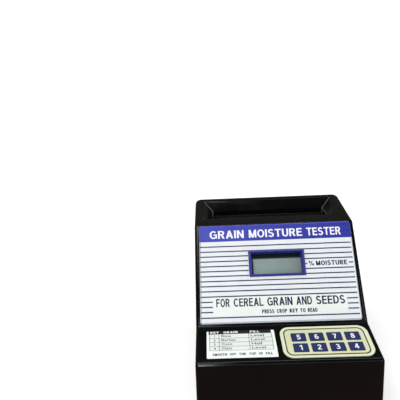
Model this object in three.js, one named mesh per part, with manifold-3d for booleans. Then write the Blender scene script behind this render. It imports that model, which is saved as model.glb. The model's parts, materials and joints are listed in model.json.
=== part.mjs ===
// Bench-top grain moisture meter: a stepped black console with a hopper well in the top deck,
// a display panel on the slope, and a keypad and a chart label on the low front step.
// Millimetres, +Z up, front face towards -Y, +X to the user's right. z = 0 is the table.
import * as THREE from "three";
import { ConvexGeometry } from "three/addons/geometries/ConvexGeometry.js";
import { mergeVertices } from "three/addons/utils/BufferGeometryUtils.js";
import Module from "manifold-3d";

const wasm = await Module();
wasm.setup();

// ---------------------------------------------------------------- driving dimensions
const WIDTH = 167.4; // housing width at the crease between the step and the display slope
const DRAFT = 0.012; // each side wall leans in by this much per mm of height
const WALL = 3;
const EDGE_R = 3.2; // rounding of the side edges
const STEP_DEG = 6.13; // the keypad step falls gently to the front
const STEP_LEN = 47.2;
const SLOPE_DEG = 49.53; // display panel
const SLOPE_LEN = 102.57;
const DECK_DEG = 4.5; // the deck climbs gently to the rear
const DECK_LEN = 65;
const FACE_H = 62.89; // front face
const FACE_LEAN = 0.14; // the front face's foot stands forward
const REAR_LEAN = 0.03;
const FOOT_H = 4.5;
const BODY_Z = 4; // lower rim of the housing
const REAR_CORNER_R = 8;

const rad = (d) => (d * Math.PI) / 180;
const ck = Math.cos(rad(STEP_DEG)), sk = Math.sin(rad(STEP_DEG));
const cd = Math.cos(rad(SLOPE_DEG)), sd = Math.sin(rad(SLOPE_DEG));
const Z_FRONT = BODY_Z + FACE_H; // top of the front face
const Z_CREASE = Z_FRONT + STEP_LEN * sk;
const Z_DECK = Z_CREASE + SLOPE_LEN * sd; // front edge of the deck
const Y_FRONT = -STEP_LEN * ck;
const Y_SLOPE_TOP = SLOPE_LEN * cd;
const ca = Math.cos(rad(DECK_DEG)), sa = Math.sin(rad(DECK_DEG));
const Y_REAR = Y_SLOPE_TOP + DECK_LEN * ca;
const Z_REAR = Z_DECK + DECK_LEN * sa;
const zDeck = (y) => Z_DECK + ((y - Y_SLOPE_TOP) * sa) / ca;
const yFace = (z) => Y_FRONT - FACE_LEAN * (Z_FRONT - z);
const yBack = (z) => Y_REAR + REAR_LEAN * (Z_REAR - z);
const halfWidth = (z) => WIDTH / 2 - DRAFT * (z - Z_CREASE);

// display panel features: u across, v up the slope from the crease
const OVERLAY = { u0: -79.3, u1: 78.2, v0: 2.2, v1: 101.4, t: 0.35, r: 2.5, top0: -77.7, top1: 78.9 }; // its sides close in a little towards the rear
const WINDOW = { u: 0.2, v: 60.4, hw: 24.7, hh: 9.95 };
const BEZEL = { hw: 28.5, hh: 13.35, rise: 2.1, sleeve: 1.2 };
// keypad step features: u across, w forward from the crease
const KEYPAD = { u0: -3.9, u1: 78.5, w0: 4.9, w1: 42.3, t: 0.8, r: 9 };
const KEY = { u: 6.05, w: 13.3, du: 16.73, dw: 12.8, wd: 13.45, dp: 10.0, rise: 0.4, gap: 0.2, travel: 0.45 };
const CHART = { u0: -73.3, u1: -8.8, w0: 7.0, w1: 40.1, t: 0.25 };
// hopper well in the deck
const WELL = { rearL: -72.9, rearR: 73.8, frontL: -74.8, frontR: 66.8, y0: 81, y1: 124 };
const THROAT = { x: 63, y0: 88, y1: 116, z: 144, lip: 6 };
const CELL = { wall: 3, floor: 3, depth: 62 };
const GLUE = 0.05; // adhesive film under labels and membranes

// ---------------------------------------------------------------- geometry helpers
function solid(g) {
  g = g.index ? g.toNonIndexed() : g.clone();
  const bare = new THREE.BufferGeometry().setAttribute("position", g.getAttribute("position"));
  const m = mergeVertices(bare, 1e-4);
  return new wasm.Manifold(
    new wasm.Mesh({
      numProp: 3,
      vertProperties: m.attributes.position.array,
      triVerts: new Uint32Array(m.index.array),
    }),
  );
}
function geometry(s) {
  const m = s.getMesh();
  const v = new Float32Array(m.numVert * 3);
  for (let i = 0; i < m.numVert; i++)
    v.set(m.vertProperties.subarray(i * m.numProp, i * m.numProp + 3), i * 3);
  const g = new THREE.BufferGeometry();
  g.setAttribute("position", new THREE.BufferAttribute(v, 3));
  g.setIndex(new THREE.BufferAttribute(new Uint32Array(m.triVerts), 1));
  const out = g.toNonIndexed();
  out.computeVertexNormals();
  return out;
}
const X = new THREE.Vector3(1, 0, 0), Y = new THREE.Vector3(0, 1, 0), Z = new THREE.Vector3(0, 0, 1);
const frame = (ux, uy, uz, o) => new THREE.Matrix4().makeBasis(ux, uy, uz).setPosition(o);
const WORLD = frame(X, Y, Z, new THREE.Vector3());
// display panel: (u, v up the slope, n outwards)
const DISPLAY = frame(X, new THREE.Vector3(0, cd, sd), new THREE.Vector3(0, -sd, cd), new THREE.Vector3(0, 0, Z_CREASE));
// keypad step: (u, v to the rear, n up)
const STEP = frame(X, new THREE.Vector3(0, ck, sk), new THREE.Vector3(0, -sk, ck), new THREE.Vector3(0, 0, Z_CREASE));

function box(x0, x1, y0, y1, z0, z1, f = WORLD) {
  return new THREE.BoxGeometry(x1 - x0, y1 - y0, z1 - z0)
    .translate((x0 + x1) / 2, (y0 + y1) / 2, (z0 + z1) / 2)
    .applyMatrix4(f);
}
function hull(points, f = WORLD) {
  return new ConvexGeometry(points.map((p) => new THREE.Vector3(...p))).applyMatrix4(f);
}
function roundRect(x0, x1, y0, y1, r, seg = 6) {
  const pts = [];
  const c = [[x1 - r, y1 - r, 0], [x0 + r, y1 - r, 90], [x0 + r, y0 + r, 180], [x1 - r, y0 + r, 270]];
  for (const [cx, cy, a0] of c)
    for (let i = 0; i <= seg; i++) {
      const a = rad(a0 + (90 * i) / seg);
      pts.push(new THREE.Vector2(cx + r * Math.cos(a), cy + r * Math.sin(a)));
    }
  return pts;
}
function plate(pts, n0, n1, f = WORLD, holes = []) {
  const s = new THREE.Shape(pts);
  for (const h of holes) s.holes.push(new THREE.Path(h));
  return new THREE.ExtrudeGeometry(s, { depth: n1 - n0, bevelEnabled: false, curveSegments: 12 })
    .translate(0, 0, n0)
    .applyMatrix4(f);
}
function prismX(yz, x0, x1) {
  const s = new THREE.Shape(yz.map(([y, z]) => new THREE.Vector2(y, z)));
  return new THREE.ExtrudeGeometry(s, { depth: x1 - x0, bevelEnabled: false })
    .translate(0, 0, x0)
    .applyMatrix4(frame(Y, Z, X, new THREE.Vector3()));
}
function post(x, y, z0, z1, r, seg = 20, f = WORLD, r1 = r) {
  return new THREE.CylinderGeometry(r1, r, z1 - z0, seg)
    .rotateX(Math.PI / 2)
    .translate(x, y, (z0 + z1) / 2)
    .applyMatrix4(f);
}
function wire(points, r, steps = 14, sides = 6) {
  const path = new THREE.CatmullRomCurve3(points.map((p) => new THREE.Vector3(...p)), false, "centripetal");
  const s = new THREE.Shape(
    Array.from({ length: sides }, (_, i) => new THREE.Vector2(r * Math.cos((2 * Math.PI * i) / sides), r * Math.sin((2 * Math.PI * i) / sides))),
  );
  return new THREE.ExtrudeGeometry(s, { steps, bevelEnabled: false, extrudePath: path });
}
// flat cable: a strip of constant thickness that follows a line in the YZ plane
function strip(yz, t, x0, x1) {
  const up = [], dn = [];
  yz.forEach(([y, z], i) => {
    const a = yz[Math.max(0, i - 1)], b = yz[Math.min(yz.length - 1, i + 1)];
    const dy = b[0] - a[0], dz = b[1] - a[1], l = Math.hypot(dy, dz);
    up.push([y - (dz / l) * (t / 2), z + (dy / l) * (t / 2)]);
    dn.unshift([y + (dz / l) * (t / 2), z - (dy / l) * (t / 2)]);
  });
  return prismX([...dn, ...up], x0, x1);
}
const U = (...gs) => gs.map((g) => (g.getMesh ? g : solid(g))).reduce((a, b) => a.add(b));
const minus = (a, ...gs) => gs.map((g) => (g.getMesh ? g : solid(g))).reduce((s, b) => s.subtract(b), a.getMesh ? a : solid(a));

// polygon in YZ with rounded corners; each corner is [y, z, radius]
function rounded(corners, stepDeg = 11) {
  const out = [];
  const n = corners.length;
  corners.forEach(([y, z, r], i) => {
    const p = new THREE.Vector2(y, z);
    if (!r) return out.push([y, z]);
    const a = corners[(i + n - 1) % n], b = corners[(i + 1) % n];
    const da = new THREE.Vector2(a[0] - y, a[1] - z).normalize();
    const db = new THREE.Vector2(b[0] - y, b[1] - z).normalize();
    const half = Math.acos(THREE.MathUtils.clamp(da.dot(db), -1, 1)) / 2;
    const t = r / Math.tan(half);
    const c = p.clone().add(da.clone().add(db).normalize().multiplyScalar(r / Math.sin(half)));
    const pa = p.clone().addScaledVector(da, t), pb = p.clone().addScaledVector(db, t);
    let a0 = Math.atan2(pa.y - c.y, pa.x - c.x), a1 = Math.atan2(pb.y - c.y, pb.x - c.x);
    while (a1 - a0 > Math.PI) a1 -= 2 * Math.PI;
    while (a1 - a0 < -Math.PI) a1 += 2 * Math.PI;
    const k = Math.max(2, Math.ceil(Math.abs(a1 - a0) / rad(stepDeg)));
    for (let j = 0; j <= k; j++) {
      const t2 = a0 + ((a1 - a0) * j) / k;
      out.push([c.x + r * Math.cos(t2), c.y + r * Math.sin(t2)]);
    }
  });
  return out;
}

// ---------------------------------------------------------------- housing
const LOW = -10; // the solids run below the rim and are cut off at BODY_Z
function makeHousing() {
  const outline = rounded([
    [yFace(LOW), LOW, 0],
    [yBack(LOW), LOW, 0],
    [Y_REAR, Z_REAR, 3.4],
    [Y_SLOPE_TOP, Z_DECK, 3.4],
    [0, Z_CREASE, 2.5],
    [Y_FRONT, Z_FRONT, 4.6],
  ]);
  const shape = new THREE.Shape(outline.map(([y, z]) => new THREE.Vector2(y, z)));
  const full = WIDTH / 2;
  const g = new THREE.ExtrudeGeometry(shape, {
    depth: 2 * (full - EDGE_R),
    bevelEnabled: true,
    bevelThickness: EDGE_R,
    bevelSize: EDGE_R,
    bevelOffset: -EDGE_R,
    bevelSegments: 6,
  })
    .translate(0, 0, -(full - EDGE_R))
    .applyMatrix4(frame(Y, Z, X, new THREE.Vector3()));
  const p = g.attributes.position;
  for (let i = 0; i < p.count; i++) p.setX(i, (p.getX(i) * halfWidth(p.getZ(i))) / full);
  let body = solid(g);

  // wider rounding of the two rear corners
  const pts = [];
  const R = REAR_CORNER_R, r = EDGE_R, e = 0.02;
  for (const s of [-1, 1]) {
    for (const [z, top] of [[LOW - 1, 0], [Z_REAR - r, 1]]) {
      const cx = halfWidth(z) + e - R, cy = yBack(z) + e - R;
      for (let i = 0; i <= 8; i++) {
        const a = rad((90 * i) / 8);
        for (let j = 0; j <= (top ? 5 : 0); j++) {
          const b = rad((90 * j) / 5);
          const rr = R - r + r * Math.cos(b);
          const y = cy + rr * Math.sin(a);
          pts.push([s * (cx + rr * Math.cos(a)), y, top ? zDeck(Math.min(y, Y_REAR)) + e - r + r * Math.sin(b) : z]);
        }
      }
    }
    pts.push([s * (halfWidth(LOW - 1) + 1), -80, LOW - 1], [s * (halfWidth(Z_DECK) + 1), -80, zDeck(-80) + e]);
  }
  body = body.intersect(solid(hull(pts)));

  // inner space
  const w = WALL;
  const line = (y, z, ny, nz) => { const l = Math.hypot(ny, nz); return [ny / l, nz / l, (ny * y + nz * z) / l - w]; };
  const meet = (a, b) => { const d = a[0] * b[1] - a[1] * b[0]; return [(a[2] * b[1] - a[1] * b[2]) / d, (a[0] * b[2] - a[2] * b[0]) / d]; };
  const face = line(Y_FRONT, Z_FRONT, -1, FACE_LEAN);
  const step = line(0, Z_CREASE, -sk, ck);
  const slope = line(0, Z_CREASE, -sd, cd);
  const deck = line(Y_REAR, Z_REAR, -sa, ca);
  const back = line(Y_REAR, Z_REAR, 1, REAR_LEAN);
  const floorline = [0, 1, LOW - 2];
  const inner = [meet(floorline, face), meet(floorline, back), meet(back, deck), meet(deck, slope), meet(slope, step), meet(step, face)];
  const inW = INNER_HALF;
  body = body.subtract(solid(prismX(inner, -inW, inW)));
  body = body.subtract(solid(box(-120, 120, -120, 200, LOW - 5, BODY_Z)));

  // hopper: sloping walls from the rim to the throat, then a short vertical lip
  const T = THROAT, W = WELL, g3 = 3, zt = T.z, zl = zt - T.lip;
  // the four corners: [rim x, rim y, throat x, throat y, outward signs]
  const corners = [
    [W.rearL, W.y1, -T.x, T.y1, -1, 1], [W.rearR, W.y1, T.x, T.y1, 1, 1],
    [W.frontR, W.y0, T.x, T.y0, 1, -1], [W.frontL, W.y0, -T.x, T.y0, -1, -1],
  ];
  const throatAt = (g, z) => corners.map(([, , x, y, sx, sy]) => [x + sx * g, y + sy * g, z]);
  const outer = hull([...corners.map(([x, y, , , sx, sy]) => [x + sx * (x > 70 ? 1.6 : g3), y + sy * g3, zDeck(y + sy * g3) - 1]), ...throatAt(g3, zt - 1)]);
  const lip = box(-T.x - g3, T.x + g3, T.y0 - g3, T.y1 + g3, zl, zt);
  // a point on a corner line of the hopper, n above the rim, pushed out by g
  const onCorner = ([x, y, tx, ty, sx, sy], n, g = 0) => {
    const f = 1 + n / (zDeck(y) - zt);
    const py = ty + (y - ty) * f + sy * g;
    return [tx + (x - tx) * f + sx * g, py, n > 0 ? zt + (zDeck(y) - zt) * f : zDeck(y + sy * g) + n];
  };
  const well = hull([...corners.map((c) => onCorner(c, 1)), ...throatAt(0, zt)]);
  const throat = box(-T.x, T.x, T.y0, T.y1, zl - 5, zt + 0.01);
  // the rim is eased by facets that turn from the deck to the slope
  const ring = (n, g) => corners.map((c) => onCorner(c, n, g));
  const easing = hull([
    ...corners.map((c) => { const [x, y] = onCorner(c, 0, 2.45); return [x, y, zDeck(y) + 0.35]; }),
    ...ring(0, 0.95), ...ring(-0.12, 0.42), ...ring(-0.38, 0),
    ...corners.map((c) => { const [x, y, z] = onCorner(c, -2.2, -3); return [x, y, z]; }),
  ]);
  body = minus(U(body, outer, lip), well, easing, throat);

  // screw posts at the four lower corners, and posts for the display board
  for (const [x, y] of BASE_SCREWS) {
    const s = Math.sign(x);
    body = U(body, post(x, y, PLATE.z1 + 0.2, 32, 5.2), box(Math.min(x, s * (inW + 0.5)), Math.max(x, s * (inW + 0.5)), y - 3, y + 3, PLATE.z1 + 0.2, 32));
  }
  for (const [x, y] of BASE_SCREWS) body = minus(body, post(x, y, 0, 22, 1.6, 12));
  for (const u of LCD_SCREWS) {
    body = U(body, post(u, WINDOW.v, LCD.board1 + 0.1, -WALL + 0.5, 2.6, 14, DISPLAY));
    body = minus(body, post(u, WINDOW.v, LCD.board1 - 1, -1.4, 1.1, 10, DISPLAY));
  }

  // openings: display window, keypad opening, power switch
  const b = BEZEL, q = WINDOW;
  body = minus(
    body,
    box(q.u - q.hw - b.sleeve - 0.3, q.u + q.hw + b.sleeve + 0.3, q.v - q.hh - b.sleeve - 0.3, q.v + q.hh + b.sleeve + 0.3, -WALL - 1, 3, DISPLAY),
    box(KEY.u - 2, KEY.u + 3 * KEY.du + KEY.wd + 2, -(KEY.w + KEY.dw + KEY.dp + 2), -(KEY.w - 2), -WALL - 1.5, 3, STEP),
    box(-SWITCH.w / 2 - 0.3, SWITCH.w / 2 + 0.3, -SWITCH.h / 2 - 0.3, SWITCH.h / 2 + 0.3, -WALL - 2, 3, REAR),
  );
  return body;
}

// ---------------------------------------------------------------- shared layout
const INNER_HALF = 79.3;
const PLATE = { z0: 4.6, z1: 7.4 };
const BASE_SCREWS = [[-72.6, -40], [72.6, -40], [-72.6, 125], [72.6, 125]];
const FEET = [[-58, -38], [58, -38], [-58, 123], [58, 123]];
const LCD = { film0: -3.4, film1: -3.15, glass0: -6.2, glass1: -3.45, board0: -7.95, board1: -6.35 };
const LCD_SCREWS = [-33, 33];
const BOARD = { x: 60, y0: -40, y1: 34, z0: 22, z1: 23.6 };
const BOARD_SCREWS = [[-55, -35], [55, -35], [-55, 29], [55, 29]];
const BATT = { x0: -29, x1: 29, y0: 90, y1: 122, top: 29 };
const SWITCH = { x: 50, z: 40, w: 12.6, h: 19.2, ow: 10.6, oh: 17.6, deep: 8 };
const rn = new THREE.Vector3(0, 1, REAR_LEAN).normalize();
// rear wall at the switch: (across to -X, up, outwards)
const REAR = frame(new THREE.Vector3(-1, 0, 0), new THREE.Vector3().crossVectors(rn, new THREE.Vector3(-1, 0, 0)), rn, new THREE.Vector3(SWITCH.x, yBack(SWITCH.z), SWITCH.z));

const parts = [];
const MATS = {
  housing: [0x101214, 0.12, 0], plate: [0x17191b, 0.55, 0], rubber: [0x1a1a1a, 0.9, 0], screw: [0x9a9da0, 0.35, 0.9],
  cell: [0x1b1d1f, 0.5, 0], steel: [0xb8bcc0, 0.3, 1], probe: [0x2c2c2e, 0.4, 0], overlay: [0xf2f4fa, 0.35, 0],
  bezel: [0x3c3f9e, 0.3, 0], film: [0x96a7a2, 0.15, 0], glass: [0x20262a, 0.1, 0], board: [0x1f6a3a, 0.6, 0],
  cream: [0xe6e4cc, 0.4, 0], key: [0x2c3a72, 0.35, 0], paper: [0xf4f4f1, 0.6, 0], chip: [0x1c1c1e, 0.5, 0],
  conn: [0xe9e5d6, 0.5, 0], battery: [0x34495e, 0.4, 0.1], snap: [0x222222, 0.6, 0], red: [0xb02622, 0.5, 0],
  black: [0x151515, 0.5, 0], blue: [0x2d4f9b, 0.5, 0], yellow: [0xc8a52c, 0.5, 0], ribbon: [0xb9bcc2, 0.5, 0],
};
function add(name, mat, s) {
  const [color, roughness, metalness] = MATS[mat];
  const g = s.getMesh ? geometry(s) : geometry(solid(s));
  const m = new THREE.Mesh(g, new THREE.MeshStandardMaterial({ color, roughness, metalness }));
  m.name = name;
  parts.push(m);
}

add("housing", "housing", makeHousing());

// ---------------------------------------------------------------- base plate, feet, screws
{
  let p = solid(box(-INNER_HALF + 0.3, INNER_HALF - 0.3, yFace(PLATE.z1) + WALL + 0.5, yBack(PLATE.z1) - WALL - 0.4, PLATE.z0, PLATE.z1));
  for (const [x, y] of BOARD_SCREWS) p = U(p, post(x, y, PLATE.z1 - 1, BOARD.z0 - 0.1, 3.2, 16));
  for (const [x, y] of BOARD_SCREWS) p = minus(p, post(x, y, 15, BOARD.z0 + 1, 1.2, 10));
  for (const [x, y] of BASE_SCREWS) p = minus(p, post(x, y, 0, 20, 1.7, 12), post(x, y, 0, PLATE.z0 + 1.7, 3.5, 16));
  p = minus(p, box(BATT.x0, BATT.x1, BATT.y0, BATT.y1, 0, 20));
  add("base_plate", "plate", p);
  BASE_SCREWS.forEach(([x, y], i) =>
    add("base_screw_" + (i + 1), "screw", minus(U(post(x, y, PLATE.z0 + 0.1, PLATE.z0 + 1.5, 3.1, 16), post(x, y, PLATE.z0 + 1, 19, 1.35, 10)), box(x - 0.4, x + 0.4, y - 2, y + 2, 0, PLATE.z0 + 0.7), box(x - 2, x + 2, y - 0.4, y + 0.4, 0, PLATE.z0 + 0.7))),
  );
  FEET.forEach(([x, y], i) => add("foot_" + (i + 1), "rubber", post(x, y, 0, FOOT_H, 7.6, 28, WORLD, 8.6)));
}

// ---------------------------------------------------------------- test cell under the hopper
const zLip = THROAT.z - THROAT.lip;
{
  const T = THROAT, C = CELL, top = zLip - 0.1, bot = zLip - C.depth;
  let c = U(
    box(-T.x - C.wall, T.x + C.wall, T.y0 - C.wall, T.y1 + C.wall, bot - C.floor, top),
    box(-T.x - 8, T.x + 8, T.y0 - 3, T.y1 + 3, top - 2.5, top),
  );
  c = minus(c, box(-T.x, T.x, T.y0, T.y1, bot, top + 1));
  const zs = bot + 12;
  const stud = (y0, y1, r) => new THREE.CylinderGeometry(r, r, y1 - y0, 12).translate(-40, (y0 + y1) / 2, zs);
  c = minus(c, stud(T.y0 - 5, T.y0 + 1, 1.9), stud(T.y1 - 1, T.y1 + 5, 1.9));
  const probe = (x0, x1, r) => new THREE.CylinderGeometry(r, r, x1 - x0, 12).rotateZ(Math.PI / 2).translate((x0 + x1) / 2, 102, bot + 30);
  c = minus(c, probe(-T.x - 5, -T.x + 1, 1.9));
  add("test_cell", "cell", c);
  const e = 0.9;
  add("electrode_front", "steel", U(box(-60, 60, T.y0 + 0.15, T.y0 + 0.15 + e, bot + 3, top - 3), stud(T.y0 - 6, T.y0 + 0.5, 1.6)));
  add("electrode_rear", "steel", U(box(-60, 60, T.y1 - 0.15 - e, T.y1 - 0.15, bot + 3, top - 3), stud(T.y1 - 0.5, T.y1 + 6, 1.6)));
  add("cell_thermistor", "probe", U(probe(-T.x - 6, -T.x + 3, 1.6), probe(-T.x - 6, -T.x - 3.2, 2.6)));
}

// ---------------------------------------------------------------- display
{
  const q = WINDOW, b = BEZEL, o = OVERLAY, gap = 0.25;
  const hole = (m) => [
    new THREE.Vector2(q.u - q.hw - m, q.v - q.hh - m), new THREE.Vector2(q.u - q.hw - m, q.v + q.hh + m),
    new THREE.Vector2(q.u + q.hw + m, q.v + q.hh + m), new THREE.Vector2(q.u + q.hw + m, q.v - q.hh - m),
  ];
  const taper = (p) => {
    const t = (p.y - o.v0) / (o.v1 - o.v0), f = (p.x - o.u0) / (o.u1 - o.u0);
    return new THREE.Vector2((o.u0 + t * (o.top0 - o.u0)) * (1 - f) + (o.u1 + t * (o.top1 - o.u1)) * f, p.y);
  };
  add("display_overlay", "overlay", plate(roundRect(o.u0, o.u1, o.v0, o.v1, o.r, 5).map(taper), GLUE, GLUE + o.t, DISPLAY, [hole(b.sleeve + gap)]));
  const n0 = GLUE + o.t + 0.05, n1 = n0 + b.rise;
  const rect = (hw, hh, n) => [[q.u - hw, q.v - hh, n], [q.u + hw, q.v - hh, n], [q.u + hw, q.v + hh, n], [q.u - hw, q.v + hh, n]];
  const bezel = minus(
    U(hull([...rect(b.hw, b.hh, n0), ...rect(b.hw, b.hh, n0 + 0.7), ...rect(b.hw - 1.1, b.hh - 1.1, n1)], DISPLAY), box(q.u - q.hw - b.sleeve, q.u + q.hw + b.sleeve, q.v - q.hh - b.sleeve, q.v + q.hh + b.sleeve, -2.95, n0 + 0.2, DISPLAY)),
    hull([...rect(q.hw + 1.3, q.hh + 1.3, n1 + 0.3), ...rect(q.hw, q.hh, n1 - 1.6), ...rect(q.hw, q.hh, -4)], DISPLAY),
  );
  add("display_bezel", "bezel", bezel);
  add("lcd_film", "film", box(q.u - q.hw + 0.9, q.u + q.hw + 1.5, q.v - q.hh - 1.2, q.v + q.hh - 3.1, LCD.film0, LCD.film1, DISPLAY));
  add("lcd_glass", "glass", box(q.u - 28.5, q.u + 28.5, q.v - 14.5, q.v + 14.5, LCD.glass0, LCD.glass1, DISPLAY));
  let board = solid(box(-38, 38, q.v - 19, q.v + 19, LCD.board0, LCD.board1, DISPLAY));
  for (const u of LCD_SCREWS) board = minus(board, post(u, q.v, -12, 0, 1.3, 10, DISPLAY));
  add("lcd_board", "board", board);
  LCD_SCREWS.forEach((u, i) => add("lcd_screw_" + (i + 1), "screw", U(post(u, q.v, LCD.board0 - 1.6, LCD.board0 - 0.1, 2.3, 12, DISPLAY), post(u, q.v, LCD.board0 - 0.5, -4.2, 0.9, 8, DISPLAY))));
}

// ---------------------------------------------------------------- keypad
const keyRect = (i) => {
  // keys 1 to 4 are the front row, 5 to 8 the rear row
  const col = (i - 1) % 4, row = i > 4 ? 0 : 1;
  const u0 = KEY.u + col * KEY.du, w0 = KEY.w + row * KEY.dw;
  return [u0, u0 + KEY.wd, -(w0 + KEY.dp), -w0];
};
{
  const k = KEYPAD, holes = [];
  for (let i = 1; i <= 8; i++) {
    const [a, b, c, d] = keyRect(i);
    holes.push(roundRect(a - KEY.gap, b + KEY.gap, c - KEY.gap, d + KEY.gap, 0.8, 3));
  }
  add("keypad_overlay", "cream", plate(roundRect(k.u0, k.u1, -k.w1, -k.w0, k.r, 9), GLUE, GLUE + k.t, STEP, holes));
  const top = GLUE + k.t + KEY.rise, boardTop = -WALL - 0.1;
  for (let i = 1; i <= 8; i++) {
    const [a, b, c, d] = keyRect(i);
    const mu = (a + b) / 2, mv = (c + d) / 2;
    add("key_" + i, "key", U(plate(roundRect(a, b, c, d, 0.6, 3), top - 1.6, top, STEP), box(mu - 2.5, mu + 2.5, mv - 2.5, mv + 2.5, boardTop + KEY.travel + 0.15, top - 1, STEP)));
  }
  add("keypad_board", "board", box(KEY.u - 5, KEY.u + 3 * KEY.du + KEY.wd + 4, -(KEY.w + KEY.dw + KEY.dp + 4), -(KEY.w - 4), boardTop - 1.6, boardTop, STEP));
  const c = CHART;
  add("chart_label", "paper", plate(roundRect(c.u0, c.u1, -c.w1, -c.w0, 0.8, 3), GLUE, GLUE + c.t, STEP));
}

// ---------------------------------------------------------------- main board
{
  const B = BOARD;
  let m = solid(box(-B.x, B.x, B.y0, B.y1, B.z0, B.z1));
  for (const [x, y] of BOARD_SCREWS) m = minus(m, post(x, y, 0, 40, 1.4, 10));
  add("main_board", "board", m);
  BOARD_SCREWS.forEach(([x, y], i) => add("board_screw_" + (i + 1), "screw", U(post(x, y, B.z1 + 0.1, B.z1 + 1.7, 2.6, 12), post(x, y, 16, B.z1 + 1, 0.95, 8))));
  const on = (x0, x1, y0, y1, h) => box(x0, x1, y0, y1, B.z1 + 0.1, B.z1 + h);
  add("mcu_chip", "chip", on(-7, 8, -18, -11, 3.4));
  add("analog_chip", "chip", on(-30, -20, 8, 14, 3.4));
  add("cell_socket", "conn", on(-34, -18, 25, 31, 7));
  add("display_socket", "conn", on(-10, 12, 22, 28, 6));
  add("keypad_socket", "conn", on(24, 46, -32, -26, 6));
  add("power_socket", "conn", on(34, 46, 24, 31, 7));
}

// ---------------------------------------------------------------- battery
{
  const b = BATT, z = PLATE.z1 + 0.1;
  let c = minus(box(b.x0 - 2.5, b.x1 + 2.5, b.y0 - 2.5, b.y1 + 2.5, z, b.top + 2), box(b.x0, b.x1, b.y0, b.y1, 0, b.top));
  c = minus(c, box(b.x1 - 1, b.x1 + 5, 102, 110, 18, 26));
  add("battery_box", "cell", c);
  add("battery_9v", "battery", U(box(-27.5, 19, 92.8, 119.2, 7.3, 24.8), new THREE.CylinderGeometry(3, 3, 3, 16).rotateZ(Math.PI / 2).translate(20.2, 99.6, 16), new THREE.CylinderGeometry(4, 4, 3, 6).rotateZ(Math.PI / 2).translate(20.2, 112.4, 16)));
  add("battery_snap", "snap", box(22, 24.6, 94, 118, 8.5, 23.5));
  add("battery_door", "plate", minus(box(b.x0 + 0.3, b.x1 - 0.3, b.y0 + 0.3, b.y1 - 0.3, PLATE.z0 + 0.1, PLATE.z1 - 0.4), ...[0, 1, 2, 3, 4].map((i) => box(18 + i * 1.9, 18.9 + i * 1.9, 98, 114, 0, PLATE.z0 + 0.6))));
}

// ---------------------------------------------------------------- power switch in the rear wall
{
  const s = SWITCH, f = 0.05;
  const bodyS = minus(
    U(plate(roundRect(-s.w / 2 - 1.3, s.w / 2 + 1.3, -s.h / 2 - 1.2, s.h / 2 + 1.2, 1.2, 4), f, 1.9, REAR), box(-s.w / 2, s.w / 2, -s.h / 2, s.h / 2, -15, 0.5, REAR), box(-3, 3, -6.5, -5.5, -21, -14, REAR), box(-3, 3, 5.5, 6.5, -21, -14, REAR)),
    box(-s.ow / 2, s.ow / 2, -s.oh / 2, s.oh / 2, -s.deep, 3, REAR),
  );
  add("switch_body", "black", bodyS);
  // rocker, drawn tipped to its stop: its upper end is in, the lower end stands out
  const prof = [[-7.6, 2.2], [-7.6, -0.6], [-3, -4.4], [3, -4.4], [7.6, -0.6], [7.6, 2.2], [4, 1.45], [0, 1.15], [-4, 1.45]];
  const a = rad(9), pivot = -1.8;
  const turned = prof.map(([p, n]) => new THREE.Vector2(p * Math.cos(a) + (n - pivot) * Math.sin(a), pivot - p * Math.sin(a) + (n - pivot) * Math.cos(a)));
  const shape = new THREE.Shape(turned);
  const gr = new THREE.ExtrudeGeometry(shape, { depth: s.ow - 0.8, bevelEnabled: false })
    .translate(0, 0, -(s.ow - 0.8) / 2)
    // profile x -> up the wall, profile y -> outwards, depth -> across
    .applyMatrix4(frame(Y, Z, X, new THREE.Vector3()))
    .applyMatrix4(REAR);
  add("power_rocker", "snap", gr);
}

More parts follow.
